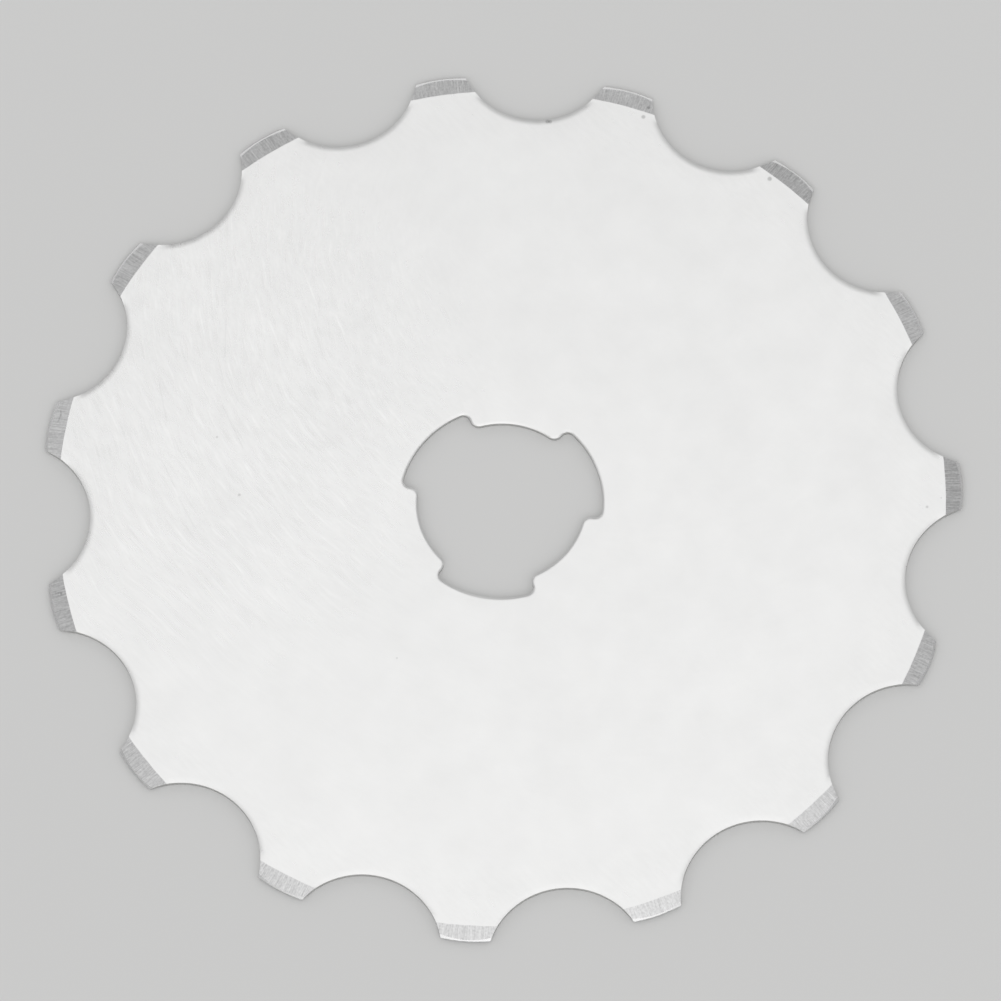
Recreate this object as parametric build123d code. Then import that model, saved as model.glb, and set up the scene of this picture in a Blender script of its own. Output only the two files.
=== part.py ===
from build123d import *
import math
import os

# Skip-cut rotary cutter blade: one disc of thin hardened strip steel.
# It is blanked with round gullets that leave a ring of short teeth and with a
# lobed centre hole, then each tooth is ground from both sides to an edge.
# Frame: Z is the blade's axis, the lower face lies at Z = 0, and +X runs
# through the middle of one tooth. Lengths are millimetres, angles degrees.

# Disc
cutting_d = 45.0            # circle through the middles of the tooth tips
thickness = 0.30            # strip steel

# Teeth and gullets
tooth_count = 15
gullet_depth = 2.44         # from the cutting circle to the bottom of a gullet
gullet_r = 3.9              # round punch that cuts the gullets
tooth_crown_r = 7.4         # arc of each tooth tip, rounder than the disc
tooth_corner_r = 0.07       # where a tip meets its flanks

# Ground edge
bevel_w = 0.82              # radial width of the ground band, the same on both faces
hone_w = 0.07               # final steeper band along the edge, at a tooth's middle
corner_hone_w = 0.21        # most that the same band may widen to at a tooth's corners
hone_angle = 17.0           # from the blade's plane, each side
edge_land = 0.02            # thickness left at the edge itself

# Centre hole
hub_hole_d = 8.2            # the hub runs in the three inner arcs
lobe_depth = 0.85           # how far the lobes' outer arcs stand beyond the hub hole
lobe_count = 3
lobe_span = 60.0            # angle that one lobe takes, measured half-way up its step
lobe_turn = -6.0            # middle of the first lobe, from the tooth on +X
lobe_shoulder_r = 0.45      # rounds the corner that stands into the hole
lobe_corner_r = 0.35        # rounds the corner at the end of each lobe
step_share = 0.95           # most of a step's height that its two rounds may take

# Rolled rim that the punch leaves on the upper face, along every blanked edge
gullet_roll_w = 0.30
hole_roll_w = 0.15
roll_depth = 0.02

# Room that a cutting tool reaches past the metal
tool_reach = 1.0

cutting_r = cutting_d / 2
mid_z = thickness / 2
face_r = cutting_r - bevel_w
gullet_centre_r = cutting_r - gullet_depth + gullet_r
crown_centre_r = cutting_r - tooth_crown_r
tooth_pitch = 360 / tooth_count
hub_r = hub_hole_d / 2
lobe_r = hub_r + lobe_depth
mid_plane = Plane.XY.offset(mid_z)


def ring_of(count, radius, start, shape):
    """The same shape repeated on a circle about the blade's axis."""
    places = PolarLocations(radius, count, start)
    return [place * shape for place in places]


def disc_outline():
    """Crowned tooth tips round the disc, parted by the round gullets."""
    crowns = ring_of(tooth_count, crown_centre_r, 0, Circle(tooth_crown_r))
    gullets = ring_of(tooth_count, gullet_centre_r, tooth_pitch / 2, Circle(gullet_r))
    outline = Sketch() + Circle(face_r) + crowns - gullets
    tip_zone_r = cutting_r - bevel_w / 2
    tip_corners = [v for v in outline.vertices() if math.hypot(v.X, v.Y) > tip_zone_r]
    return fillet(tip_corners, tooth_corner_r)


def centre_hole_outline():
    """Hub circle opened out into three shallow lobes with rounded steps."""
    half_span = math.radians(lobe_span / 2)
    far_x = 2 * lobe_r * math.cos(half_span)
    far_y = 2 * lobe_r * math.sin(half_span)
    wedge = make_face(Polyline((0, 0), (far_x, -far_y), (far_x, far_y), close=True))
    lobe = wedge & Circle(lobe_r)
    lobes = ring_of(lobe_count, 0, lobe_turn, lobe)
    outline = Sketch() + Circle(hub_r) + lobes
    scale = min(1.0, step_share * lobe_depth / (lobe_shoulder_r + lobe_corner_r))
    corners = [v for v in outline.vertices() if math.hypot(v.X, v.Y) > hub_r + lobe_depth / 2]
    outline = fillet(corners, lobe_corner_r * scale)
    shoulders = [v for v in outline.vertices() if math.hypot(v.X, v.Y) < hub_r + lobe_depth / 4]
    return fillet(shoulders, lobe_shoulder_r * scale)


def gullet_roll():
    """Ring of metal that the punch drags down round one gullet."""
    start = (gullet_r + gullet_roll_w, thickness)
    at_wall = (gullet_r, thickness - roll_depth)
    # The arc runs on past the wall, half a width further and twice as deep.
    end = (gullet_r - gullet_roll_w / 2, thickness - 2 * roll_depth)
    top = thickness + tool_reach
    roll = ThreePointArc(start, at_wall, end)
    rest = Polyline(end, (end[0], top), (start[0], top), start)
    return revolve(Plane.XZ * make_face([roll, rest]), Axis.Z)


def upper_bevel():
    """Ring cut away above the ground band of the upper face."""
    hone_inner_z = mid_z + edge_land / 2 + hone_w * math.tan(math.radians(hone_angle))
    slope = (thickness - hone_inner_z) / (bevel_w - hone_w)
    inner = face_r - tool_reach
    outer = cutting_r + tool_reach
    inner_z = thickness + slope * tool_reach
    outer_z = thickness - slope * (outer - face_r)
    top = thickness + tool_reach
    profile = Polyline((inner, inner_z), (outer, outer_z), (outer, top), (inner, top), close=True)
    return revolve(Plane.XZ * make_face(profile), Axis.Z)


def upper_hone():
    """Sliver cut away above the honed band of one tooth, about the axis of its crown."""
    slope = math.tan(math.radians(hone_angle))
    edge_z = mid_z + edge_land / 2
    inner = tooth_crown_r - corner_hone_w
    outer = tooth_crown_r + hone_w
    top = thickness + tool_reach
    profile = Polyline(
        (inner, edge_z + slope * (tooth_crown_r - inner)),
        (outer, edge_z - slope * (outer - tooth_crown_r)),
        (outer, top),
        (inner, top),
        close=True,
    )
    # Half a pitch, as seen from the crown's axis, covers one tooth and no other.
    turn = math.degrees(cutting_r * math.radians(tooth_pitch) / 2 / tooth_crown_r)
    sliver = revolve(Plane.XZ * make_face(profile), Axis.Z, turn)
    return Rot(0, 0, -turn / 2) * sliver


def make_blade():
    blade = extrude(disc_outline(), thickness)
    blade -= extrude(mid_plane * centre_hole_outline(), mid_z + tool_reach, both=True)
    blade -= ring_of(tooth_count, gullet_centre_r, tooth_pitch / 2, gullet_roll())
    bevel = upper_bevel()
    blade -= [bevel, mirror(bevel, mid_plane)]
    hone = upper_hone()
    blade -= ring_of(tooth_count, crown_centre_r, 0, hone)
    blade -= ring_of(tooth_count, crown_centre_r, 0, mirror(hone, mid_plane))
    hole_rim = [
        edge
        for edge in blade.edges().group_by(Axis.Z)[-1]
        if math.hypot(edge.center().X, edge.center().Y) < lobe_r + lobe_corner_r
    ]
    upper_face = blade.faces().sort_by(Axis.Z)[-1]
    return chamfer(hole_rim, roll_depth, hole_roll_w, reference=upper_face)


blade = make_blade()
os.makedirs("parts", exist_ok=True)
export_step(blade, "parts/blade.step")
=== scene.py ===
import cmath
import math
from collections import namedtuple

import bpy
import numpy as np
from bpy.props import FloatProperty, FloatVectorProperty, IntProperty, PointerProperty
from mathutils import Matrix, Vector
from mathutils.geometry import delaunay_2d_cdt


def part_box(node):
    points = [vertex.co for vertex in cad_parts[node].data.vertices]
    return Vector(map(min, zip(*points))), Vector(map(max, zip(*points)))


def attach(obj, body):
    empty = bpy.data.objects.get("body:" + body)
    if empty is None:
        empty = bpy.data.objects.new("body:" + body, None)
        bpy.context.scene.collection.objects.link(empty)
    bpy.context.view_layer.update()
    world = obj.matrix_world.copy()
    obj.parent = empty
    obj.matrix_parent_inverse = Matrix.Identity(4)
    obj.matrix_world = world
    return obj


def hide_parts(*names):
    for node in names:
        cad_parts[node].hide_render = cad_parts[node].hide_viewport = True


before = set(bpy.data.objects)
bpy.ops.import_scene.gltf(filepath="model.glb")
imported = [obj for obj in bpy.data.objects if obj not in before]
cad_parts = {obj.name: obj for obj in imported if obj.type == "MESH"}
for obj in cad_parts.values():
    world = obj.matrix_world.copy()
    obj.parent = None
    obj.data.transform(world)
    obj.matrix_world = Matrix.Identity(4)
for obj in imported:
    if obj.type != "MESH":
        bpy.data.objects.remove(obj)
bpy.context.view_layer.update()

bl_info = {
    "name": "Rotary cutter blade",
    "version": (1, 0, 0),
    "blender": (4, 5, 0),
    "location": "3D View > Sidebar > Blade",
    "description": "Skip-cut blade of ground strip steel, with the plain studio that it lies in",
    "category": "Object",
}

MM = 0.001
DEGREE = math.pi / 180
blade_low, blade_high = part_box("blade")


# Settings that a user would change

def length(name, description, default):
    return FloatProperty(
        name=name,
        description=description,
        default=default,
        precision=5,
        unit="LENGTH",
        subtype="DISTANCE",
    )


def angle(name, description, default):
    return FloatProperty(
        name=name,
        description=description,
        default=default,
        unit="ROTATION",
        subtype="ANGLE",
    )


def share(name, description, default):
    return FloatProperty(
        name=name,
        description=description,
        default=default,
        min=0.0,
        max=1.0,
        subtype="FACTOR",
    )


def level(name, description, default):
    return FloatProperty(name=name, description=description, default=default, min=0.0)


def colour(name, description, default):
    return FloatVectorProperty(
        name=name,
        description=description,
        default=default,
        size=3,
        min=0.0,
        max=1.0,
        subtype="COLOR",
    )


class BladeShape(bpy.types.PropertyGroup):
    """Sizes of the disc, its teeth and its centre hole."""
    cutting_radius: length("Cutting radius", "From the axis to the middle of a tooth's edge", blade_high.x)
    thickness: length("Thickness", "Thickness of the strip steel", blade_high.z)
    teeth: IntProperty(name="Teeth", description="Teeth round the disc", default=15, min=3)
    gullet_depth: length("Gullet depth", "From the cutting circle to the bottom of a gullet", 2.44 * MM)
    gullet_radius: length("Gullet radius", "Round punch that cuts the gullets", 3.9 * MM)
    crown_radius: length("Crown radius", "Arc of each tooth's edge", 7.4 * MM)
    corner_radius: length("Tooth corner", "Rounding where an edge meets its flanks", 0.07 * MM)
    bevel_width: length("Bevel width", "Ground band of each tooth, from the face to the edge", 0.82 * MM)
    hone_width: length("Hone width", "Steeper band along the edge, at a tooth's middle", 0.07 * MM)
    hone_angle: angle("Hone angle", "Slope of that band from the blade's plane", 17 * DEGREE)
    edge_land: length("Edge land", "Thickness left at the edge itself", 0.02 * MM)
    hub_radius: length("Hub radius", "Inner arcs of the centre hole", 4.1 * MM)
    lobe_depth: length("Lobe depth", "How far the outer arcs stand beyond the inner ones", 0.85 * MM)
    lobes: IntProperty(name="Lobes", description="Outer arcs of the centre hole", default=3, min=2)
    lobe_span: angle("Lobe span", "Angle that one lobe takes, half-way up its step", 60 * DEGREE)
    lobe_turn: angle("Lobe turn", "Middle of the first lobe, from the tooth on +X", -6 * DEGREE)
    shoulder_radius: length("Lobe shoulder", "Rounding that stands into the hole", 0.45 * MM)
    lobe_corner_radius: length("Lobe corner", "Rounding at the end of a lobe", 0.35 * MM)
    gullet_roll: length("Gullet roll", "Width of the rolled rim along the gullets", 0.30 * MM)
    hole_roll: length("Hole roll", "Width of the rolled rim round the hole", 0.15 * MM)
    roll_depth: length("Roll depth", "How far the punch drags the rim down", 0.02 * MM)


class BladeWear(bpy.types.PropertyGroup):
    """Small faults that punching, grinding and handling leave."""
    ripple: length("Bevel ripple", "How far the line between face and bevel wanders", 0.010 * MM)
    punch_drift: length("Punch drift", "How far the ring of gullets sits off the hole, along Y", 0.06 * MM)
    roll_run_out: length("Roll run-out", "Length over which the rolled rims fade", 0.4 * MM)
    serration: length("Edge serration", "Roughness of the cutting edge in plan", 0.014 * MM)


class BladeSteel(bpy.types.PropertyGroup):
    """Colours and finish of the steel."""
    face_colour: colour("Face", "Surface-ground face", (0.80, 0.80, 0.795))
    bevel_colour: colour("Bevel", "Freshly ground bevel", (0.70, 0.70, 0.70))
    hone_colour: colour("Hone", "Honed band along the edge", (0.84, 0.84, 0.84))
    wall_colour: colour("Wall", "Punched wall of gullets and hole", (0.62, 0.62, 0.61))
    face_roughness: share("Face roughness", "Satin of the face", 0.28)
    bevel_roughness: share("Bevel roughness", "Ground texture of the bevel", 0.34)
    hone_roughness: share("Hone roughness", "Finer finish of the honed band", 0.24)
    wall_roughness: share("Wall roughness", "Burnished upper half of the punched wall", 0.34)
    face_marks: share("Face marks", "How much the grinding marks tint the face", 0.30)
    face_clouds: share("Face clouds", "How much soft clouds tint the face", 0.065)
    bevel_lines: share("Bevel lines", "How much the grinding lines tint the bevel", 0.70)
    bevel_mottle: share("Bevel mottle", "How much fine mottling tints the bevel", 0.44)
    hone_lines: share("Hone lines", "How much fine lines tint the honed band", 0.12)
    wall_lines: share("Wall lines", "How much the punch's lines tint the wall", 0.25)


class BladeStudio(bpy.types.PropertyGroup):
    """Floor, lamp, room and camera."""
    floor_colour: colour("Floor", "Plain pale floor", (0.68, 0.68, 0.675))
    aim_x: length("Camera aim X", "Point of the blade that the camera looks at", 0.02 * MM)
    aim_y: length("Camera aim Y", "Point of the blade that the camera looks at", 0.15 * MM)
    view_distance: length("Camera distance", "From that point to the camera", 574.4 * MM)
    view_elevation: angle("Camera elevation", "Height of the camera above the floor", 70.05 * DEGREE)
    view_azimuth: angle("Camera azimuth", "Side that the camera stands on, from +X", -111.91 * DEGREE)
    view_roll: angle("Camera roll", "Turn of the camera about its own axis", -3.97 * DEGREE)
    focal_length: FloatProperty(
        name="Focal length", description="On a 36 mm sensor", default=423.2, unit="CAMERA"
    )
    overhead_level: level("Overhead light", "Radiance that the softbox above the blade adds", 0.63)
    overhead_width: length("Overhead width", "Softbox from side to side", 0.58)
    overhead_depth: length("Overhead depth", "Softbox from front to back", 0.98)
    overhead_distance: length("Overhead distance", "From the blade to the softbox", 1.2)
    overhead_tilt: angle("Overhead tilt", "From the camera's side up and over to the softbox", 96 * DEGREE)
    front_level: level("Front of the room", "Radiance of the camera's side, high up", 1.25)
    front_wall_level: level("Front wall", "Radiance of the camera's side, low down", 1.0)
    back_level: level("Back of the room", "Radiance of the far side, high up", 0.43)
    back_wall_level: level("Back wall", "Radiance of the far side, low down", 0.95)


# What sets this blade apart from an even one. Teeth are numbered anticlockwise from the one
# on +X, and each gullet has the number of the tooth before it.

# Nicks seen on the cutting edges: tooth, place along its edge, depth and half width
NICKS = (
    (1, 0.45 * MM, 0.030 * MM, 0.15 * MM),
    (6, -0.35 * MM, 0.020 * MM, 0.08 * MM),
    (7, 1.10 * MM, 0.050 * MM, 0.09 * MM),
    (11, 0.50 * MM, 0.020 * MM, 0.06 * MM),
    (13, 1.15 * MM, 0.060 * MM, 0.16 * MM),
    (14, -0.95 * MM, 0.025 * MM, 0.07 * MM),
)

# Teeth a little longer or shorter than the rest: number, how far outward
CROWN_SHIFTS = ((1, -0.03 * MM), (4, 0.075 * MM), (5, 0.075 * MM), (6, 0.055 * MM), (13, -0.045 * MM))

# Teeth whose bevel starts a little farther out or in than the rest: number, how far outward
GROUND_SHIFTS = (
    (1, -0.055 * MM), (2, -0.05 * MM), (3, -0.07 * MM), (5, 0.025 * MM), (6, 0.025 * MM),
    (8, -0.025 * MM), (10, 0.045 * MM), (11, 0.045 * MM), (13, -0.03 * MM),
)

# Gullets that the punch cut out of line: number, how far outward and how far onward
GULLET_SHIFTS = ((4, 0.18 * MM, 0.02 * MM), (5, 0.15 * MM, -0.10 * MM), (12, -0.06 * MM, 0))

# Teeth whose bevel is tinted lighter or darker than the rest: number, change as a share
TOOTH_TONES = (
    (1, -0.12), (4, -0.05), (6, 0.10), (7, -0.08), (10, -0.07), (12, 0.04), (13, -0.08), (14, -0.18),
)

# Waves in the line between face and bevel, and in the cutting edge: count per turn, phase, share
RIPPLE_WAVES = ((31, 0.4, 0.45), (74, 1.9, 0.30), (163, 4.1, 0.25))
EDGE_WAVES = ((347, 1.0, 0.2), (791, 2.2, 0.3))

# The edge's roughness begins this far from a flank and is full this much farther on.
FLANK_CALM = 0.05 * MM
FLANK_FADE = 0.15 * MM


# Lines in plan, as complex numbers

SAME_SPOT = 0.001 * MM
Arc = namedtuple("Arc", "centre radius start end")


def arc_points(arc, step):
    count = max(3, math.ceil(abs(arc.end - arc.start) * arc.radius / step) + 1)
    return arc.centre + arc.radius * np.exp(1j * np.linspace(arc.start, arc.end, count))


def inset(arc, distance):
    """The arc moved into the metal, which lies on its left."""
    turn = 1 if arc.end > arc.start else -1
    return arc._replace(radius=arc.radius - turn * distance)


def mirrored(arc, axis):
    """The arc on the other side of a line through the centre, run in the same sense."""
    centre = arc.centre.conjugate() * cmath.rect(1, 2 * axis)
    return Arc(centre, arc.radius, 2 * axis - arc.end, 2 * axis - arc.start)


def turned(arc, by):
    return Arc(arc.centre * cmath.rect(1, by), arc.radius, arc.start + by, arc.end + by)


def arc_between(centre, radius, start, end, clockwise=False):
    """Arc from one direction to the other, both given as vectors from its centre."""
    turn = cmath.phase(end / start) % (2 * math.pi)
    if clockwise:
        turn -= 2 * math.pi
    return Arc(centre, radius, cmath.phase(start), cmath.phase(start) + turn)


def meet(a, from_a, b, from_b):
    """The point at these distances from a and b, on the left of the way from a to b."""
    apart = abs(b - a)
    along = (apart**2 + from_a**2 - from_b**2) / (2 * apart)
    across = math.sqrt(from_a**2 - along**2)
    return a + (b - a) / apart * complex(along, across)


def closed_run(arcs, step_of):
    """Points of a closed outline, without the repeats where its arcs meet."""
    run = np.concatenate([arc_points(arc, step_of(arc)) for arc in arcs])
    return run[np.abs(run - np.roll(run, 1)) > SAME_SPOT]


def waves(around, parts):
    return sum(size * np.sin(count * around + phase) for count, phase, size in parts)


# The blade's form

EDGE_STEP = 0.035 * MM
WALL_STEP = 0.09 * MM
HOLE_STEP = 0.06 * MM
BEVEL_STEP = 0.07 * MM
FACE_STEP = 0.8 * MM
CLEAR = 0.03 * MM
ROLL_ROWS = 8
FLANK_ROUNDS = 4
HONE_ROUNDS = 20


class BladeForm:
    """Every line and height of the blade, worked out from its sizes."""

    def __init__(self, shape, wear):
        self.shape = shape
        self.wear = wear
        self.pitch = 2 * math.pi / shape.teeth
        self.face_radius = shape.cutting_radius - shape.bevel_width
        self.lobe_radius = shape.hub_radius + shape.lobe_depth
        self.gullets = self.punched_gullets()
        self.crowns = self.ground_crowns()
        self.ground_shift = self.for_each_tooth(GROUND_SHIFTS)
        self.edge_z = (shape.thickness + shape.edge_land) / 2
        self.hone_slope = math.tan(shape.hone_angle)
        self.hone_inner_z = self.edge_z + shape.hone_width * self.hone_slope
        self.hole = closed_run(self.hole_arcs(), lambda arc: HOLE_STEP)

    def for_each_tooth(self, pairs):
        """One value per tooth: 0 where no pair gives it another."""
        values = np.zeros(self.shape.teeth)
        for tooth, value in pairs:
            values[tooth % self.shape.teeth] += value
        return values

    def punched_gullets(self):
        """Centre of each gullet: an even ring a little off the hole, in which a few stand out."""
        shape = self.shape
        reach = shape.cutting_radius - shape.gullet_depth + shape.gullet_radius
        centres = np.full(shape.teeth, reach, complex)
        for gullet, outward, onward in GULLET_SHIFTS:
            centres[gullet % shape.teeth] += complex(outward, onward)
        around = self.pitch * (np.arange(shape.teeth) + 0.5)
        return centres * np.exp(1j * around) + 1j * self.wear.punch_drift

    def ground_crowns(self):
        """Centre of each tooth's crown."""
        shape = self.shape
        reach = shape.cutting_radius - shape.crown_radius + self.for_each_tooth(CROWN_SHIFTS)
        return reach * np.exp(1j * self.pitch * np.arange(shape.teeth))

    def gullet(self, index):
        return complex(self.gullets[index % self.shape.teeth])

    def crown(self, index):
        return complex(self.crowns[index % self.shape.teeth])

    def tooth_at(self, around):
        """Number of the tooth nearest to each direction."""
        return np.round(around / self.pitch).astype(int) % self.shape.teeth

    def ground_radius(self, around):
        """Radius at which the bevel leaves the face."""
        wander = self.wear.ripple * waves(around, RIPPLE_WAVES)
        return self.face_radius + self.ground_shift[self.tooth_at(around)] + wander

    def roll_drop(self, distance, width):
        """How far a rolled rim lies below the face, at this distance from the wall."""
        return self.shape.roll_depth * np.clip(1 - distance / width, 0, 1) ** 2

    def roll_left(self, spot):
        """Share of the gullet's rolled rim that is left: it runs out before the teeth."""
        inward = (self.face_radius - np.abs(spot)) / self.wear.roll_run_out
        return np.clip(inward, 0, 1)

    def bevel_height(self, spot):
        """Straight from the ground line down to the honed band, which is alike on every tooth."""
        around = np.angle(spot)
        ground = self.ground_radius(around)
        tip = np.abs(self.crowns[self.tooth_at(around)]) + self.shape.crown_radius
        slope = (self.shape.thickness - self.hone_inner_z) / (tip - self.shape.hone_width - ground)
        return self.shape.thickness - slope * (np.abs(spot) - ground)

    def hone_height(self, spot):
        """Sloping about the axis of the nearest crown, on the teeth alone."""
        from_crown = np.abs(spot - self.crowns[self.tooth_at(np.angle(spot))])
        height = self.edge_z + self.hone_slope * (self.shape.crown_radius - from_crown)
        on_teeth = np.abs(spot) > self.face_radius - self.shape.bevel_width
        return np.where(on_teeth, height, self.shape.thickness)

    def gullet_distance(self, spot):
        """Distance from the nearest gullet's wall, negative inside the gullet."""
        nearest = np.floor(np.angle(spot) / self.pitch).astype(int) % self.shape.teeth
        return np.abs(spot - self.gullets[nearest]) - self.shape.gullet_radius

    def hole_distance(self, spot):
        """Distance from the hole's wall, worked out only near it."""
        near = np.abs(spot) < self.lobe_radius + 2 * self.shape.hole_roll
        distance = np.full(spot.shape, self.shape.cutting_radius)
        distance[near] = np.abs(spot[near][:, None] - self.hole[None, :]).min(axis=1)
        return distance

    def rolled_height(self, spot):
        """The upper face with its rolled rims."""
        gullet_drop = self.roll_drop(self.gullet_distance(spot), self.shape.gullet_roll)
        hole_drop = self.roll_drop(self.hole_distance(spot), self.shape.hole_roll)
        return self.shape.thickness - gullet_drop * self.roll_left(spot) - hole_drop

    def upper_height(self, spot):
        heights = (self.rolled_height(spot), self.bevel_height(spot), self.hone_height(spot))
        return np.minimum.reduce(heights)

    def lower_height(self, spot):
        """The lower face is ground as the upper one is, but has no rolled rims."""
        flat = np.full(spot.shape, self.shape.thickness)
        heights = (flat, self.bevel_height(spot), self.hone_height(spot))
        return self.shape.thickness - np.minimum.reduce(heights)

    def zone(self, spot):
        """Place in ZONES of the finish at each spot: 0 face, 1 bevel, 2 honed band."""
        bevel = self.bevel_height(spot)
        honed = self.hone_height(spot) < bevel
        ground = bevel < self.rolled_height(spot)
        return np.where(ground, np.where(honed, 2, 1), 0)

    def tooth_tone(self, spot):
        """How much lighter or darker than the rest each spot's tooth is."""
        return self.for_each_tooth(TOOTH_TONES)[self.tooth_at(np.angle(spot))]

    def worn(self, spot):
        """The cutting edge pushed in by its roughness and nicks; flanks and gullets stay."""
        around = np.angle(spot)
        tooth = np.round(around / self.pitch)
        along = (around - tooth * self.pitch) * self.shape.cutting_radius
        on_edge = np.clip((self.gullet_distance(spot) - FLANK_CALM) / FLANK_FADE, 0, 1)
        depth = self.wear.serration * (0.5 + waves(around, EDGE_WAVES)) * on_edge
        for nicked, place, deep, half_width in NICKS:
            same_tooth = (tooth - nicked) % self.shape.teeth == 0
            depth = depth + same_tooth * deep * np.exp(-(((along - place) / half_width) ** 2))
        near_edge = np.abs(spot) > self.face_radius + self.shape.bevel_width / 2
        return spot * (1 - near_edge * depth / np.abs(spot))

    def hole_arcs(self):
        """Outline of the centre hole, run clockwise with the metal on its left."""
        shape = self.shape
        half = shape.lobe_span / 2
        shoulder = self.beside_step(shape.hub_radius + shape.shoulder_radius, shape.shoulder_radius)
        corner = self.beside_step(self.lobe_radius - shape.lobe_corner_radius, -shape.lobe_corner_radius)
        step = [
            Arc(shoulder, shape.shoulder_radius, cmath.phase(shoulder) - math.pi, half - math.pi / 2),
            Arc(corner, shape.lobe_corner_radius, half + math.pi / 2, cmath.phase(corner)),
        ]
        lobe = [
            Arc(0j, shape.hub_radius, math.pi / shape.lobes, cmath.phase(shoulder)),
            *step,
            Arc(0j, self.lobe_radius, cmath.phase(corner), -cmath.phase(corner)),
            *[mirrored(arc, 0) for arc in reversed(step)],
            Arc(0j, shape.hub_radius, -cmath.phase(shoulder), -math.pi / shape.lobes),
        ]
        turns = [shape.lobe_turn - 2 * math.pi * n / shape.lobes for n in range(shape.lobes)]
        return [turned(arc, by) for by in turns for arc in lobe]

    def beside_step(self, reach, beside):
        """Centre of a rounding that touches the radial line at the end of a lobe."""
        along = math.sqrt(reach**2 - beside**2)
        return complex(along, beside) * cmath.rect(1, self.shape.lobe_span / 2)

    def corner_after(self, tooth):
        """Centre of the rounding where a tooth's edge meets the gullet after it."""
        beside = self.shape.gullet_radius + self.shape.corner_radius
        within = self.shape.crown_radius - self.shape.corner_radius
        return meet(self.gullet(tooth), beside, self.crown(tooth), within)

    def corner_before(self, tooth):
        """Centre of the rounding where a tooth's edge meets the gullet before it."""
        beside = self.shape.gullet_radius + self.shape.corner_radius
        within = self.shape.crown_radius - self.shape.corner_radius
        return meet(self.crown(tooth), within, self.gullet(tooth - 1), beside)

    def tooth_arcs(self, tooth):
        """Outline of one tooth and the gullet after it, run anticlockwise."""
        shape = self.shape
        crown, gullet = self.crown(tooth), self.gullet(tooth)
        before, after = self.corner_before(tooth), self.corner_after(tooth)
        beyond = self.corner_before(tooth + 1)
        return [
            arc_between(crown, shape.crown_radius, before - crown, after - crown),
            arc_between(after, shape.corner_radius, after - crown, gullet - after),
            arc_between(gullet, shape.gullet_radius, after - gullet, beyond - gullet, clockwise=True),
            arc_between(beyond, shape.corner_radius, gullet - beyond, beyond - self.crown(tooth + 1)),
        ]

    def outline_arcs(self):
        return [arc for tooth in range(self.shape.teeth) for arc in self.tooth_arcs(tooth)]

    def flank_spot(self, gullet, side, distance):
        """Where the ground line cuts the line at this distance from a gullet's wall."""
        centre = self.gullet(gullet)
        away = abs(centre)
        reach = self.shape.gullet_radius + distance
        radius = self.face_radius
        for _ in range(FLANK_ROUNDS):
            turn = side * math.acos((radius**2 - away**2 - reach**2) / (2 * away * reach))
            spot = (away + cmath.rect(reach, turn)) * centre / away
            radius = self.ground_radius(cmath.phase(spot))
        return spot, turn

    def hone_line(self, tooth):
        """The line between bevel and honed band, run on past both flanks."""
        shape = self.shape
        centre = self.crown(tooth)
        start = cmath.phase((self.corner_before(tooth) - centre) / centre)
        end = cmath.phase((self.corner_after(tooth) - centre) / centre)
        beyond = 4 * shape.corner_radius / shape.crown_radius
        count = math.ceil((end - start) * shape.crown_radius / EDGE_STEP)
        ways = np.exp(1j * np.linspace(start - beyond, end + beyond, count)) * centre / abs(centre)
        reach = np.full(ways.shape, shape.crown_radius)
        for _ in range(HONE_ROUNDS):
            spot = centre + reach * ways
            reach = shape.crown_radius - (self.bevel_height(spot) - self.edge_z) / self.hone_slope
        return spot


# The blade's mesh

CREASE = 5 * DEGREE
ZONES = ("ground_face", "ground_bevel", "honed_band")
TOOTH_TONE = "tooth_tone"


class Plan:
    """Points and lines that the flat triangulation follows."""

    def __init__(self):
        self.spots = []
        self.lines = []

    def add(self, run):
        first = len(self.spots)
        self.spots.extend(run)
        return list(range(first, len(self.spots)))

    def add_line(self, run):
        places = self.add(run)
        self.lines.extend(zip(places, places[1:]))

    def add_loop(self, run):
        places = self.add(run)
        self.lines.extend(zip(places, places[1:] + places[:1]))
        return places


def add_gullet_rim(plan, form, gullet):
    """Rows of the rolled rim round one gullet, from one ground line to the other."""
    rows = np.linspace(0, form.shape.gullet_roll, ROLL_ROWS + 1)
    centre = form.gullet(gullet)
    to_gullet = cmath.phase(centre)
    for distance in rows[1:]:
        start = to_gullet + form.flank_spot(gullet, -1, distance)[1]
        end = to_gullet + form.flank_spot(gullet, 1, distance)[1] - 2 * math.pi
        row = arc_points(Arc(centre, form.shape.gullet_radius + distance, start, end), WALL_STEP)
        plan.add(row[1:-1])


def add_ground_lines(plan, form, tooth):
    """The lines across one tooth: face to bevel, and bevel to honed band."""
    turn_back = cmath.rect(1, -form.pitch * tooth)
    start = form.flank_spot(tooth - 1, 1, 0)[0] * turn_back
    end = form.flank_spot(tooth, -1, 0)[0] * turn_back
    count = 3 + int(abs(end - start) / EDGE_STEP)
    around = np.linspace(cmath.phase(start), cmath.phase(end), count) + form.pitch * tooth
    plan.add_line(form.ground_radius(around) * np.exp(1j * around))
    plan.add_line(form.hone_line(tooth))


def add_bevel_fill(plan, form):
    """An even grid over the ground bands, clear of the lines and walls."""
    inner = form.face_radius + 2 * BEVEL_STEP
    outer = np.abs(form.crowns).max() + form.shape.crown_radius
    for radius in np.arange(inner, outer, BEVEL_STEP):
        count = round(2 * math.pi * radius / BEVEL_STEP)
        ring = radius * np.exp(2j * math.pi * np.arange(count) / count)
        hone = form.hone_height(ring)
        from_hone = np.abs(hone - form.bevel_height(ring)) / form.hone_slope
        from_edge = (hone - form.edge_z) / form.hone_slope
        inside = (form.gullet_distance(ring) > CLEAR) & (from_edge > 2 * CLEAR) & (from_hone > CLEAR)
        plan.add(ring[inside])


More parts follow.
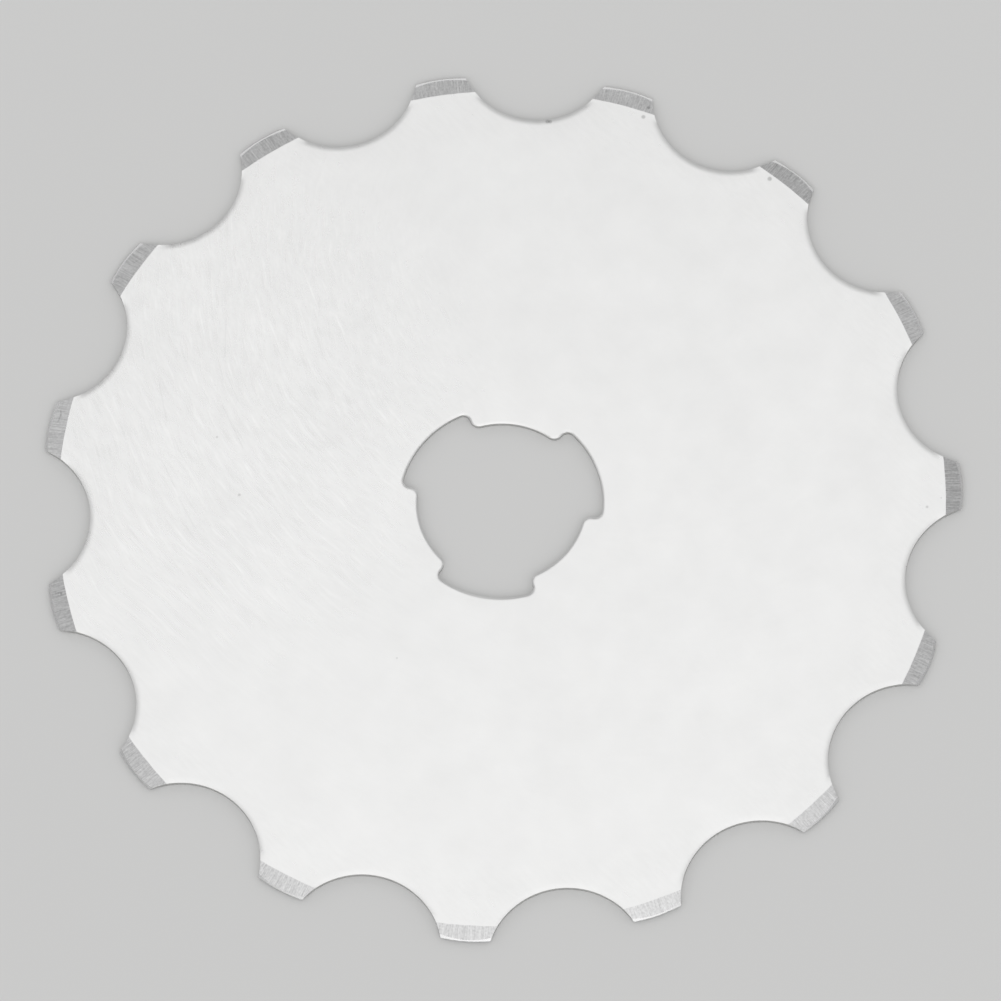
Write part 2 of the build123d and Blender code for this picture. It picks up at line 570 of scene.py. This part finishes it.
def add_face_fill(plan, form):
    """A loose grid over the flat of the face."""
    margin = FACE_STEP / 4
    rows = np.arange(-form.face_radius, form.face_radius, FACE_STEP)
    grid = (rows[:, None] + 1j * rows[None, :]).ravel()
    free = form.gullet_distance(grid) > form.shape.gullet_roll + margin
    free &= np.abs(grid) < form.face_radius - margin
    free &= np.abs(grid) > form.lobe_radius + form.shape.hole_roll + margin
    plan.add(grid[free])


def blade_plan(form):
    """The blade's triangulated plan: its spots and its triangles, anticlockwise."""
    plan = Plan()
    edge_arcs = (form.shape.crown_radius, form.shape.corner_radius)
    outline = closed_run(
        form.outline_arcs(), lambda arc: EDGE_STEP if arc.radius in edge_arcs else WALL_STEP
    )
    outer = plan.add_loop(form.worn(outline))
    hole = plan.add_loop(form.hole)
    for row in np.linspace(0, form.shape.hole_roll, ROLL_ROWS + 1)[1:]:
        plan.add(closed_run([inset(arc, row) for arc in form.hole_arcs()], lambda arc: HOLE_STEP))
    for tooth in range(form.shape.teeth):
        add_gullet_rim(plan, form, tooth)
        add_ground_lines(plan, form, tooth)
    add_bevel_fill(plan, form)
    add_face_fill(plan, form)
    in_mm = [Vector((spot.real / MM, spot.imag / MM)) for spot in plan.spots]
    # Triangles in the hole belong to both loops, and those of the metal to the outer one alone.
    found = delaunay_2d_cdt(in_mm, plan.lines, [outer, hole[::-1]], 0, SAME_SPOT / MM, True)
    spots = np.array([complex(*spot) for spot in found[0]]) * MM
    triangles = [face for face, loops in zip(found[2], found[5]) if list(loops) == [0]]
    return spots, np.array(triangles)


def rim_edges(triangles):
    """Edges that only one triangle has, with the metal on their left."""
    directed = [tuple(edge) for face in triangles for edge in zip(face, np.roll(face, -1))]
    known = set(directed)
    return [edge for edge in directed if edge[::-1] not in known]


def blade_mesh(form):
    """Upper and lower skin over one plan, joined by the walls along its rims."""
    spots, triangles = blade_plan(form)
    used = np.unique(triangles)
    place = np.full(len(spots), -1)
    place[used] = np.arange(len(used))
    spots = spots[used]
    triangles = place[triangles]
    upper = np.c_[spots.real, spots.imag, form.upper_height(spots)]
    lower = np.c_[spots.real, spots.imag, form.lower_height(spots)]
    count = len(spots)
    walls = [(i + count, j + count, j, i) for i, j in rim_edges(triangles)]
    faces = [*triangles.tolist(), *(triangles[:, ::-1] + count).tolist(), *walls]
    mesh = bpy.data.meshes.new("ground_blade")
    mesh.from_pydata(np.concatenate([upper, lower]).tolist(), [], faces)
    zones = form.zone(spots[triangles].mean(axis=1))
    slots = np.concatenate([zones, zones, np.full(len(walls), len(ZONES))])
    mesh.polygons.foreach_set("material_index", slots.astype(np.int32))
    tone = mesh.attributes.new(TOOTH_TONE, "FLOAT", "POINT")
    tone.data.foreach_set("value", np.tile(form.tooth_tone(spots), 2).astype(np.float32))
    mesh.shade_smooth()
    mesh.set_sharp_from_angle(angle=CREASE)
    return mesh


# Finishes

# Between which shares of its radius or half width a mark fades
SPOT_EDGE = (0.5, 1.4)
LINE_EDGE = (0.4, 1.6)


class Graph:
    """Adds shader nodes to a tree and links them, so that a finish reads as a formula."""

    def __init__(self, tree):
        self.tree = tree
        tree.nodes.clear()

    def add(self, kind, inputs=(), **settings):
        node = self.tree.nodes.new(kind)
        for name, value in settings.items():
            setattr(node, name, value)
        for key, value in dict(inputs).items():
            self.put(node.inputs[key], value)
        return node

    def put(self, socket, value):
        if isinstance(value, bpy.types.NodeSocket):
            self.tree.links.new(value, socket)
        else:
            socket.default_value = value

    def math(self, operation, *values, clamp=False):
        node = self.add("ShaderNodeMath", enumerate(values), operation=operation, use_clamp=clamp)
        return node.outputs[0]

    def times(self, first, second):
        return self.math("MULTIPLY", first, second)

    def less(self, first, second):
        return self.math("SUBTRACT", first, second)

    def total(self, first, *others):
        for other in others:
            first = self.math("ADD", first, other)
        return first

    def varied(self, base, pattern, swing):
        """A value that rises and falls with a pattern."""
        return self.math("MULTIPLY_ADD", pattern, swing, base)

    def vector(self, x, y, z=0.0):
        return self.add("ShaderNodeCombineXYZ", {"X": x, "Y": y, "Z": z}).outputs[0]

    def across(self, operation, first, second):
        """One step of vector arithmetic, for operations that give a vector."""
        return self.add("ShaderNodeVectorMath", {0: first, 1: second}, operation=operation).outputs[0]

    def measured(self, operation, first, second):
        """One step of vector arithmetic, for operations that give a number."""
        node = self.add("ShaderNodeVectorMath", {0: first, 1: second}, operation=operation)
        return node.outputs["Value"]

    def noise(self, x, y, detail=2.0, roughness=0.5):
        """Noise about one unit coarse, from -0.5 to 0.5."""
        settings = {"Vector": self.vector(x, y), "Detail": detail, "Roughness": roughness, "Scale": 1.0}
        return self.less(self.add("ShaderNodeTexNoise", settings).outputs["Fac"], 0.5)

    def grain(self, x, y, size):
        """Noise as coarse in all directions as this size, in millimetres."""
        return self.noise(self.times(x, 1 / size), self.times(y, 1 / size))

    def ramp(self, value, limits, ends):
        """Smooth passage from one end to the other while the value passes between the limits."""
        low, high = limits
        at_low, at_high = ends
        inputs = {"Value": value, "From Min": low, "From Max": high, "To Min": at_low, "To Max": at_high}
        return self.add("ShaderNodeMapRange", inputs, interpolation_type="SMOOTHSTEP").outputs[0]

    def mixed(self, weight, first, second):
        return self.add("ShaderNodeMix", {0: weight, 2: first, 3: second}).outputs[0]

    def part(self, vector, axis):
        return self.add("ShaderNodeSeparateXYZ", {0: vector}).outputs[axis]

    def coordinates(self, kind):
        return self.add("ShaderNodeTexCoord").outputs[kind]

    def position_mm(self):
        """X and Y on the blade, in millimetres, and the two as one vector."""
        flat = self.across("MULTIPLY", self.coordinates("Object"), (1 / MM, 1 / MM, 0.0))
        return self.part(flat, "X"), self.part(flat, "Y"), flat

    def distance(self, flat, centre=(0.0, 0.0)):
        return self.measured("DISTANCE", flat, (*centre, 0.0))

    def near_spot(self, flat, centre, radius):
        """1 on a small spot and 0 away from it."""
        low, high = SPOT_EDGE
        return self.ramp(self.distance(flat, centre), (radius * low, radius * high), (1.0, 0.0))

    def near_line(self, flat, start, end, half_width):
        """1 on a straight mark and 0 away from it."""
        run = (end[0] - start[0], end[1] - start[1])
        squared = run[0] ** 2 + run[1] ** 2
        from_start = self.across("SUBTRACT", flat, (*start, 0.0))
        along = self.measured("DOT_PRODUCT", from_start, (run[0] / squared, run[1] / squared, 0.0))
        along = self.math("ADD", along, 0.0, clamp=True)
        nearest = self.across("MULTIPLY", self.vector(along, along), (*run, 0.0))
        from_mark = self.measured("DISTANCE", from_start, nearest)
        low, high = LINE_EDGE
        return self.ramp(from_mark, (half_width * low, half_width * high), (1.0, 0.0))

    def tinted(self, base, change):
        """A colour made lighter or darker by a share of itself."""
        tint = self.math("ADD", change, 1.0)
        return self.across("MULTIPLY", (*base,), self.vector(tint, tint, tint))

    def metal(self, base, roughness, height, relief):
        """Bare metal with this colour and roughness, and relief this deep."""
        bump = self.add("ShaderNodeBump", {"Height": height, "Distance": relief, "Strength": 1.0})
        surface = self.add("ShaderNodeBsdfPrincipled", {
            "Base Color": base, "Metallic": 1.0, "Roughness": roughness, "Normal": bump.outputs[0],
        })
        self.add("ShaderNodeOutputMaterial", {"Surface": surface.outputs[0]})


def new_finish(name):
    material = bpy.data.materials.new(name)
    material.use_nodes = True
    return material, Graph(material.node_tree)


# Marks that show one by one, in millimetres: place and radius of specks, ends and half width of
# scratches
FACE_SPECKS = (
    ((10.69, 17.02), 0.10), ((10.81, 16.95), 0.09), ((15.05, 15.15), 0.10), ((19.20, 9.45), 0.11),
    ((18.53, -9.36), 0.07), ((19.36, -9.24), 0.045), ((-11.03, 9.19), 0.06), ((-11.33, 5.98), 0.07),
    ((-8.04, -5.02), 0.05),
)
FACE_SCRATCHES = (
    ((-13.96, 9.06), (-13.99, 7.75), 0.035), ((-14.05, 7.2), (-14.01, 5.31), 0.035),
    ((-10.09, 10.59), (-10.13, 8.11), 0.03), ((-17.1, 6.3), (-16.5, 4.4), 0.03),
    ((-12.4, 12.9), (-12.9, 11.0), 0.03), ((-8.0, 14.6), (-8.9, 12.8), 0.03),
)
BRIGHT_SCRATCHES = (
    ((-3.08, 12.34), (-3.14, 11.31), 0.04), ((-3.5, 15.2), (-3.7, 13.0), 0.03),
)
BEVEL_SPECKS = (((15.50, 15.50), 0.08), ((-21.3, 5.2), 0.05))
BEVEL_SCRATCHES = (
    ((-17.62, 13.42), (-17.40, 13.62), 0.035), ((-17.40, 13.62), (-17.30, 13.86), 0.035),
)

# How much those marks change the tint; a speck on the face is darker the larger it is.
FACE_SPECK_PER_MM = -3.2
FACE_SCRATCH = 0.05
BEVEL_SPECK = -0.35
BEVEL_SCRATCH = -0.22

# The far centre that the sweep of the wheel went about, and the middle of the area where its
# marks still show, in millimetres
SWEEP_CENTRE = (13.3, 9.8)
SWEEP_MIDDLE = (-11.3, 11.0)

# Distances in millimetres over which marks fade or grow, and their shares at either end: swept
# ones from the middle of their area, straight ones from the axis
SWEEP_FADE = ((6.0, 16.5), (1.0, 0.05))
RIM_RISE = ((18.0, 20.5), (0.04, 0.30))

# How dense the swept strokes lie, the common ones and the few distinct ones
STROKES_PER_MM = 4.0
STROKES_PER_RADIAN = 22.0
STROKES_SHARE = 0.85
DISTINCT_PER_MM = 5.0
DISTINCT_PER_RADIAN = 13.0
DISTINCT_LIMITS = (0.12, 0.26)
DISTINCT_STRENGTH = 0.20

# How far their arcs wander, and over what distance, in millimetres
WANDER = 1.5
WANDER_SIZE = 7.0

# Straight strokes: slope below X, then width and length in millimetres
CROSSING_STROKES = (58 * DEGREE, 0.28, 1.2)
CROSSING_SHARE = 0.3
RIM_STROKES = (70 * DEGREE, 0.22, 0.9)

CLOUD_SIZES = (1.6, 5.0)

# Lines across the edge: radius at which their spacing is counted, how often long and short ones
# change along a millimetre of it, and how much finer and weaker the short ones are
LINES_RADIUS = 22.0
LONG_PER_MM = 0.6
SHORT_PER_MM = 2.6
SHORT_FINER = 1.7
SHORT_SHARE = 0.8

# Heights between which the punched wall passes from its torn half to the burnished one
TORN_LIMITS = (0.10 * MM, 0.14 * MM)
TORN_TINT = -0.12


def straight_strokes(graph, flat, slope, width, extent):
    """Strokes that run straight at this slope below X, about this wide and long in millimetres."""
    sine, cosine = math.sin(slope), math.cos(slope)
    over = graph.measured("DOT_PRODUCT", flat, (sine / width, cosine / width, 0.0))
    along = graph.measured("DOT_PRODUCT", flat, (cosine / extent, -sine / extent, 0.0))
    return graph.noise(over, along)


def swept_strokes(graph, x, y, flat):
    """Strokes along arcs about one far centre, a few distinct, crossed by fainter straight ones."""
    wander = graph.times(graph.grain(x, y, WANDER_SIZE), WANDER)
    reach = graph.total(graph.distance(flat, SWEEP_CENTRE), wander)
    # Measured from -X, so that the jump in the angle falls where the sweep has faded out.
    ahead = graph.less(y, SWEEP_CENTRE[1])
    turn = graph.math("ARCTAN2", ahead, graph.less(SWEEP_CENTRE[0], x))
    strokes = graph.noise(graph.times(reach, STROKES_PER_MM), graph.times(turn, STROKES_PER_RADIAN))
    strokes = graph.times(strokes, STROKES_SHARE)
    thin = graph.noise(
        graph.times(reach, DISTINCT_PER_MM), graph.times(turn, DISTINCT_PER_RADIAN), detail=0.0
    )
    low, high = DISTINCT_LIMITS
    bright = graph.ramp(thin, (low, high), (0.0, DISTINCT_STRENGTH))
    dark = graph.ramp(thin, (-high, -low), (DISTINCT_STRENGTH, 0.0))
    crossing = graph.times(straight_strokes(graph, flat, *CROSSING_STROKES), CROSSING_SHARE)
    return graph.total(strokes, graph.less(bright, dark), crossing)


def ground_face(steel):
    """Satin face: grinding marks that handling has polished out in part, clouds, scratches, specks."""
    material, graph = new_finish("ground_face")
    x, y, flat = graph.position_mm()
    swept_share = graph.ramp(graph.distance(flat, SWEEP_MIDDLE), *SWEEP_FADE)
    swept = graph.times(swept_strokes(graph, x, y, flat), swept_share)
    rim_share = graph.ramp(graph.distance(flat), *RIM_RISE)
    straight = graph.times(straight_strokes(graph, flat, *RIM_STROKES), rim_share)
    marks = graph.total(swept, straight)
    clouds = graph.total(*[graph.grain(x, y, size) for size in CLOUD_SIZES])
    change = graph.total(graph.times(marks, steel.face_marks), graph.times(clouds, steel.face_clouds))
    for centre, radius in FACE_SPECKS:
        speck = graph.near_spot(flat, centre, radius)
        change = graph.total(change, graph.times(speck, FACE_SPECK_PER_MM * radius))
    for scratches, strength in ((FACE_SCRATCHES, -FACE_SCRATCH), (BRIGHT_SCRATCHES, FACE_SCRATCH)):
        for start, end, half_width in scratches:
            scratch = graph.near_line(flat, start, end, half_width)
            change = graph.total(change, graph.times(scratch, strength))
    roughness = graph.varied(steel.face_roughness, marks, swing=0.10)
    graph.metal(graph.tinted(steel.face_colour, change), roughness, marks, relief=0.0002 * MM)
    return material


def lines_across_edge(graph, x, y, flat, spacing):
    """Grinding lines that run from the face to the edge, this far apart in millimetres."""
    radius = graph.distance(flat)
    around = graph.times(graph.math("ARCTAN2", y, x), LINES_RADIUS / spacing)
    long_ones = graph.noise(around, graph.times(radius, LONG_PER_MM), roughness=0.6)
    finer = graph.times(around, SHORT_FINER)
    short_ones = graph.noise(finer, graph.times(radius, SHORT_PER_MM), roughness=0.6)
    return graph.total(long_ones, graph.times(short_ones, SHORT_SHARE))


def ground_bevel(steel):
    """Bevel with grinding lines across the edge, and a tone of its own on some teeth."""
    material, graph = new_finish("ground_bevel")
    x, y, flat = graph.position_mm()
    lines = lines_across_edge(graph, x, y, flat, spacing=0.075)
    mottle = graph.grain(x, y, 0.11)
    tone = graph.add("ShaderNodeAttribute", attribute_name=TOOTH_TONE).outputs["Fac"]
    change = graph.total(
        graph.times(lines, steel.bevel_lines), graph.times(mottle, steel.bevel_mottle), tone
    )
    for centre, radius in BEVEL_SPECKS:
        speck = graph.near_spot(flat, centre, radius)
        change = graph.total(change, graph.times(speck, BEVEL_SPECK))
    for start, end, half_width in BEVEL_SCRATCHES:
        scratch = graph.near_line(flat, start, end, half_width)
        change = graph.total(change, graph.times(scratch, BEVEL_SCRATCH))
    roughness = graph.varied(steel.bevel_roughness, lines, swing=0.12)
    graph.metal(graph.tinted(steel.bevel_colour, change), roughness, lines, relief=0.0007 * MM)
    return material


def honed_band(steel):
    """Steeper band along the edge, finer than the bevel."""
    material, graph = new_finish("honed_band")
    x, y, flat = graph.position_mm()
    lines = lines_across_edge(graph, x, y, flat, spacing=0.10)
    base = graph.tinted(steel.hone_colour, graph.times(lines, steel.hone_lines))
    roughness = graph.varied(steel.hone_roughness, lines, swing=0.08)
    graph.metal(base, roughness, lines, relief=0.0005 * MM)
    return material


def punched_wall(steel):
    """Sheared wall with fine lines from face to face and a duller torn half."""
    material, graph = new_finish("punched_wall")
    x, y, flat = graph.position_mm()
    height = graph.part(graph.coordinates("Object"), "Z")
    lines = graph.total(graph.grain(x, y, 0.09), graph.times(graph.grain(x, y, 0.5), 0.6))
    torn = graph.ramp(height, TORN_LIMITS, (1.0, 0.0))
    change = graph.total(graph.times(lines, steel.wall_lines), graph.times(torn, TORN_TINT))
    roughness = graph.varied(steel.wall_roughness, torn, swing=0.14)
    graph.metal(graph.tinted(steel.wall_colour, change), roughness, lines, relief=0.0025 * MM)
    return material


class BLADE_OT_cut_blade(bpy.types.Operator):
    """Build the blade: ground teeth, round gullets, lobed hole and rolled rims"""
    bl_idname = "blade.cut_blade"
    bl_label = "Cut blade"

    def execute(self, context):
        scene = context.scene
        mesh = blade_mesh(BladeForm(scene.blade_shape, scene.blade_wear))
        # In the order of ZONES, and the wall last
        for finish in (ground_face, ground_bevel, honed_band, punched_wall):
            mesh.materials.append(finish(scene.blade_steel))
        piece = bpy.data.objects.new("ground_blade", mesh)
        scene.collection.objects.link(piece)
        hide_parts("blade")
        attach(piece, "root")
        return {"FINISHED"}


# Studio

SENSOR_WIDTH = 36.0
NEAREST_SEEN = 10 * MM
FARTHEST_SEEN = 10.0
FLOOR_HALF = 2.5

# Power of an area lamp, per square metre, that gives one unit of radiance
POWER_PER_RADIANCE = 4

# Heights between which each wall passes into what lies above it, as sines of the elevation, and
# how far toward the camera's side the back of the room passes into its front
BACK_RISE = (0.50, 0.72)
FRONT_RISE = (0.30, 0.60)
FRONT_TURN = (0.0, 0.6)


def looking(place, target, roll=0.0):
    """Matrix of a lamp or camera at a place, turned to a target with the world's up as its up."""
    back = (place - target).normalized()
    turn = back.to_track_quat("Z", "Y").to_matrix().to_4x4()
    return Matrix.Translation(place) @ turn @ Matrix.Rotation(roll, 4, "Z")


def direction(azimuth, elevation):
    flat = math.cos(elevation)
    return Vector((math.cos(azimuth) * flat, math.sin(azimuth) * flat, math.sin(elevation)))


def add_camera(scene, studio):
    data = bpy.data.cameras.new("camera")
    data.sensor_width = SENSOR_WIDTH
    data.lens = studio.focal_length
    data.clip_start = NEAREST_SEEN
    data.clip_end = FARTHEST_SEEN
    camera = bpy.data.objects.new("camera", data)
    aim = Vector((studio.aim_x, studio.aim_y, scene.blade_shape.thickness / 2))
    place = aim + direction(studio.view_azimuth, studio.view_elevation) * studio.view_distance
    camera.matrix_world = looking(place, aim, studio.view_roll)
    scene.collection.objects.link(camera)
    scene.camera = camera


def add_softbox(scene, studio):
    """A rectangular lamp above the blade that faces it."""
    data = bpy.data.lights.new("overhead", "AREA")
    data.shape = "RECTANGLE"
    data.size = studio.overhead_width
    data.size_y = studio.overhead_depth
    area = studio.overhead_width * studio.overhead_depth
    data.energy = studio.overhead_level * POWER_PER_RADIANCE * area
    lamp = bpy.data.objects.new("overhead", data)
    place = direction(studio.view_azimuth, studio.overhead_tilt) * studio.overhead_distance
    lamp.matrix_world = looking(place, Vector((0, 0, 0)))
    lamp.visible_camera = False
    scene.collection.objects.link(lamp)


def add_floor(scene, studio):
    corners = [(x * FLOOR_HALF, y * FLOOR_HALF, 0) for x, y in ((-1, -1), (1, -1), (1, 1), (-1, 1))]
    mesh = bpy.data.meshes.new("floor")
    mesh.from_pydata(corners, [], [(0, 1, 2, 3)])
    floor = bpy.data.objects.new("floor", mesh)
    scene.collection.objects.link(floor)
    material, graph = new_finish("floor")
    surface = graph.add("ShaderNodeBsdfDiffuse", {"Color": (*studio.floor_colour, 1.0)})
    graph.add("ShaderNodeOutputMaterial", {"Surface": surface.outputs[0]})
    mesh.materials.append(material)


def set_room(scene, studio):
    """The room as the world's light: brighter on the camera's side, with a wall low down all round."""
    world = bpy.data.worlds.new("room")
    world.use_nodes = True
    scene.world = world
    graph = Graph(world.node_tree)
    way = graph.coordinates("Generated")
    height = graph.part(way, "Z")
    to_front = graph.measured("DOT_PRODUCT", way, direction(studio.view_azimuth, 0))
    back = graph.ramp(height, BACK_RISE, (studio.back_wall_level, studio.back_level))
    front = graph.ramp(height, FRONT_RISE, (studio.front_wall_level, studio.front_level))
    radiance = graph.mixed(graph.ramp(to_front, FRONT_TURN, (0.0, 1.0)), back, front)
    grey = graph.vector(radiance, radiance, radiance)
    light = graph.add("ShaderNodeBackground", {"Color": grey, "Strength": 1.0})
    graph.add("ShaderNodeOutputWorld", {"Surface": light.outputs[0]})


class BLADE_OT_set_studio(bpy.types.Operator):
    """Lay the pale floor, light the room, hang the softbox and set the camera"""
    bl_idname = "blade.set_studio"
    bl_label = "Set studio"

    def execute(self, context):
        scene = context.scene
        scene.view_settings.view_transform = "Standard"
        for step in (add_floor, set_room, add_softbox, add_camera):
            step(scene, scene.blade_studio)
        return {"FINISHED"}


GROUPS = (
    ("Shape", "blade_shape"),
    ("Wear", "blade_wear"),
    ("Steel", "blade_steel"),
    ("Studio", "blade_studio"),
)
SETTINGS = (BladeShape, BladeWear, BladeSteel, BladeStudio)
OPERATORS = (BLADE_OT_cut_blade, BLADE_OT_set_studio)


class BLADE_PT_panel(bpy.types.Panel):
    """Sizes, wear, steel and studio of the blade"""
    bl_label = "Rotary cutter blade"
    bl_idname = "BLADE_PT_panel"
    bl_space_type = "VIEW_3D"
    bl_region_type = "UI"
    bl_category = "Blade"

    def draw(self, context):
        for heading, name in GROUPS:
            box = self.layout.box()
            box.label(text=heading)
            settings = getattr(context.scene, name)
            for key in type(settings).__annotations__:
                box.prop(settings, key)
        for operator in OPERATORS:
            self.layout.operator(operator.bl_idname)


def register():
    for cls in (*SETTINGS, *OPERATORS, BLADE_PT_panel):
        bpy.utils.register_class(cls)
    for (heading, name), cls in zip(GROUPS, SETTINGS):
        setattr(bpy.types.Scene, name, PointerProperty(type=cls, name=heading))


def unregister():
    for heading, name in GROUPS:
        delattr(bpy.types.Scene, name)
    for cls in reversed((*SETTINGS, *OPERATORS, BLADE_PT_panel)):
        bpy.utils.unregister_class(cls)


def main():
    register()
    bpy.ops.blade.cut_blade()
    bpy.ops.blade.set_studio()


if __name__ == "__main__":
    main()
